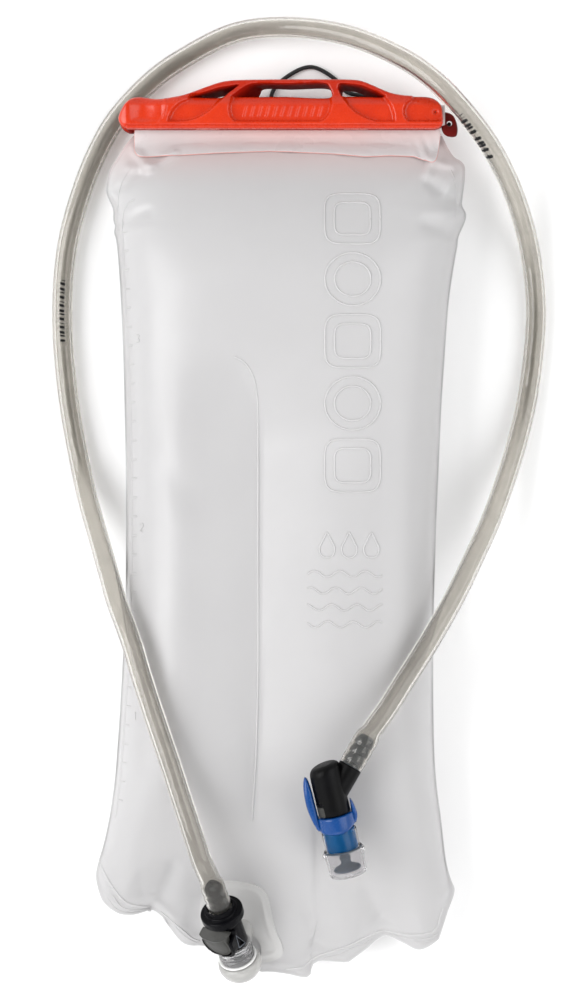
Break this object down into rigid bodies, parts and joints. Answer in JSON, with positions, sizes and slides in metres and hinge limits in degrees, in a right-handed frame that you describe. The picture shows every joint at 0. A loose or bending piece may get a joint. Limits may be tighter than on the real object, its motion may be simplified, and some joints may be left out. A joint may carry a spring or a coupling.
{
  "type": "hydration bladder",
  "caption": "Filled film water reservoir lying on its back, with a slide closure and handle, a quick-connect outlet, a drink tube and a shut-off bite valve.",
  "frame": {"origin": "middle of the bag's flat back, on the ground it lies on", "axes": "+Y from the outlet end to the slide closure, +Z away from the ground, +X to the right seen from the front"},
  "size_m": [0.2323, 0.4475, 0.0749],
  "materials": {
    "film": "milky translucent TPU film, satin",
    "fold_film": "double TPU film over the rail, satin, faint pink cast",
    "clear_tpu": "clear moulded TPU, glossy",
    "dark_red_plastic": "moulded nylon, satin",
    "orange_plastic": "moulded plastic, soft gloss",
    "black_cord": "braided cord, matte",
    "seal_rubber": "black sealing rubber",
    "black_plastic": "fine grained moulding",
    "grey_plastic": "fine grained moulding",
    "spring_steel": "drawn wire",
    "white_plastic": "moulded plastic",
    "tube_tpu": "clear tube with a warm cast, glossy",
    "blue_plastic": "glossy moulding, slightly translucent",
    "slate_plastic": "moulded plastic",
    "clear_silicone": "clear silicone, satin"
  },
  "bodies": {
    "reservoir": {"front_panel": "film", "back_panel": "film", "baffle": "film", "mouth_fold": "fold_film", "port_plate": "clear_tpu", "closure_rail": "dark_red_plastic", "tether_cord": "black_cord", "port_fitting": "clear_tpu", "port_oring": "seal_rubber", "socket_body": "black_plastic", "button_spring": "spring_steel", "poppet_spring": "spring_steel", "drink_tube": "tube_tpu", "bite_elbow": "black_plastic", "elbow_oring": "seal_rubber"},
    "slide_closure": {"slider": "orange_plastic"},
    "plug": {"tube_plug": "black_plastic", "plug_oring": "seal_rubber"},
    "poppet": {"check_poppet": "white_plastic", "poppet_seal": "seal_rubber"},
    "button": {"release_button": "grey_plastic"},
    "valve": {"shutoff_valve": "blue_plastic", "valve_core": "slate_plastic", "bite_valve": "clear_silicone"}
  },
  "joints": [
    {"name": "closure_slide", "type": "slide", "parent": "reservoir", "child": "slide_closure", "axis": [-1, 0, 0], "range_m": [0, 0.165], "deforming": ["tether_cord"]},
    {"name": "plug_pull", "type": "slide", "parent": "reservoir", "child": "plug", "axis": [-0.2401, 0.8032, 0.5452], "range_m": [0, 0.014], "deforming": ["drink_tube"]},
    {"name": "poppet_travel", "type": "slide", "parent": "reservoir", "child": "poppet", "axis": [-0.2401, 0.8032, 0.5452], "range_m": [0, 0.0025], "deforming": ["poppet_spring"]},
    {"name": "button_press", "type": "slide", "parent": "reservoir", "child": "button", "axis": [0.4362, 0.5902, -0.6793], "range_m": [0, 0.0014], "stiffness_N_per_m": 900, "deforming": ["button_spring"]},
    {"name": "shutoff_twist", "type": "hinge", "parent": "reservoir", "child": "valve", "pos_m": [0.0217, -0.1147, 0.066], "axis": [-0.2221, 0.9663, 0.13], "range_deg": [0, 90]}
  ],
  "couplings": [
    {"joint": "poppet_travel", "follows": "plug_pull", "ratio": 0.17857}
  ]
}
